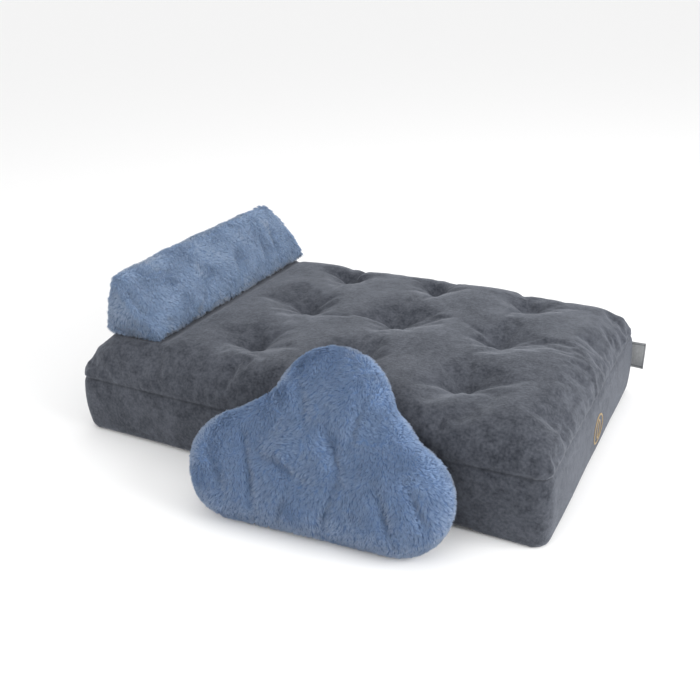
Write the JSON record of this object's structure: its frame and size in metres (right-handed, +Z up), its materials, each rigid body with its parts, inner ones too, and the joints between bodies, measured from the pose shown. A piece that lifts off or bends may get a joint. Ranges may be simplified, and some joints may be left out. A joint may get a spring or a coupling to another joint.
{
  "type": "dog bed",
  "caption": "Rectangular tufted dog mattress in grey velour with a blue plush wedge bolster on top and a three-lobed plush pillow leaning on its front edge.",
  "frame": {"origin": "centre of the mattress's flat underside, on the floor", "axes": "+X along the mattress's long side, +Y towards its back long side, +Z up"},
  "size_m": [1.03, 0.8202, 0.3366],
  "materials": {
    "grey_velour": "matte",
    "base_cloth": "matte",
    "bolster_plush": "matte",
    "pillow_plush": "matte",
    "support_foam": "matte",
    "memory_foam": "matte",
    "fibre_fill": "matte",
    "lining_cloth": "matte",
    "tuft_cord": "matte",
    "anchor_plastic": "matte",
    "label_satin": "satin",
    "emblem_thread": "satin",
    "grey_zip_tape": "matte",
    "blue_zip_tape": "matte",
    "grey_zip_coil": "satin",
    "blue_zip_coil": "satin",
    "zip_metal": "satin"
  },
  "bodies": {
    "mattress": {"bottom_panel": "base_cloth", "boxing_back": "grey_velour", "boxing_front": "grey_velour", "boxing_left": "grey_velour", "boxing_right": "grey_velour", "emblem_patch": "emblem_thread", "mattress_zip_coils": "grey_zip_coil", "mattress_zip_stops": "zip_metal", "mattress_zip_tape_lower": "grey_zip_tape", "mattress_zip_tape_upper": "grey_zip_tape", "memory_foam": "memory_foam", "support_foam": "support_foam", "top_panel": "grey_velour", "topper_backing": "lining_cloth", "topper_fill": "fibre_fill", "tuft_anchors": "anchor_plastic", "tuft_ties": "tuft_cord", "woven_label": "label_satin"},
    "mattress_slider": {"mattress_zip_slider": "zip_metal"},
    "mattress_pull": {"mattress_zip_pull": "zip_metal"},
    "bolster": {"bolster_back_panel": "bolster_plush", "bolster_base_panel": "bolster_plush", "bolster_end_back": "bolster_plush", "bolster_end_front": "bolster_plush", "bolster_foam": "support_foam", "bolster_front_panel": "bolster_plush", "bolster_zip_coils": "blue_zip_coil", "bolster_zip_stops": "zip_metal", "bolster_zip_tape_lower": "blue_zip_tape", "bolster_zip_tape_upper": "blue_zip_tape"},
    "bolster_slider": {"bolster_zip_slider": "zip_metal"},
    "bolster_pull": {"bolster_zip_pull": "zip_metal"},
    "pillow": {"pillow_back_panel": "pillow_plush", "pillow_fill": "fibre_fill", "pillow_front_panel": "pillow_plush", "pillow_liner_back": "lining_cloth", "pillow_liner_front": "lining_cloth", "pillow_zip_coils": "blue_zip_coil", "pillow_zip_stops": "zip_metal", "pillow_zip_tape_lower": "blue_zip_tape", "pillow_zip_tape_upper": "blue_zip_tape"},
    "pillow_slider": {"pillow_zip_slider": "zip_metal"},
    "pillow_pull": {"pillow_zip_pull": "zip_metal"}
  },
  "joints": [
    {"name": "bolster_lift", "type": "slide", "parent": "mattress", "child": "bolster", "axis": [0, 0, 1], "range_m": [0, 0.25]},
    {"name": "pillow_pull_away", "type": "slide", "parent": "mattress", "child": "pillow", "axis": [0, -1, 0], "range_m": [0, 0.3]},
    {"name": "mattress_zip_slide", "type": "slide", "parent": "mattress", "child": "mattress_slider", "axis": [-1, 0, 0], "range_m": [0, 0.816]},
    {"name": "mattress_pull_swing", "type": "hinge", "parent": "mattress_slider", "child": "mattress_pull", "pos_m": [0.408, 0.3257, 0.06], "axis": [0, 0, -1], "range_deg": [0, 170]},
    {"name": "bolster_zip_slide", "type": "slide", "parent": "bolster", "child": "bolster_slider", "axis": [0, -1, 0], "range_m": [0, 0.436]},
    {"name": "bolster_pull_swing", "type": "hinge", "parent": "bolster_slider", "child": "bolster_pull", "pos_m": [-0.45278, 0.236, 0.27476], "axis": [-0.3192, 0, -0.9477], "range_deg": [0, 170]},
    {"name": "pillow_zip_slide", "type": "slide", "parent": "pillow", "child": "pillow_slider", "axis": [-0.9964, -0.0849, 0], "range_m": [0, 0.256]},
    {"name": "pillow_pull_swing", "type": "hinge", "parent": "pillow_slider", "child": "pillow_pull", "pos_m": [0.24916, -0.36086, 0.0569], "axis": [0.0365, -0.429, -0.9026], "range_deg": [0, 170]}
  ]
}
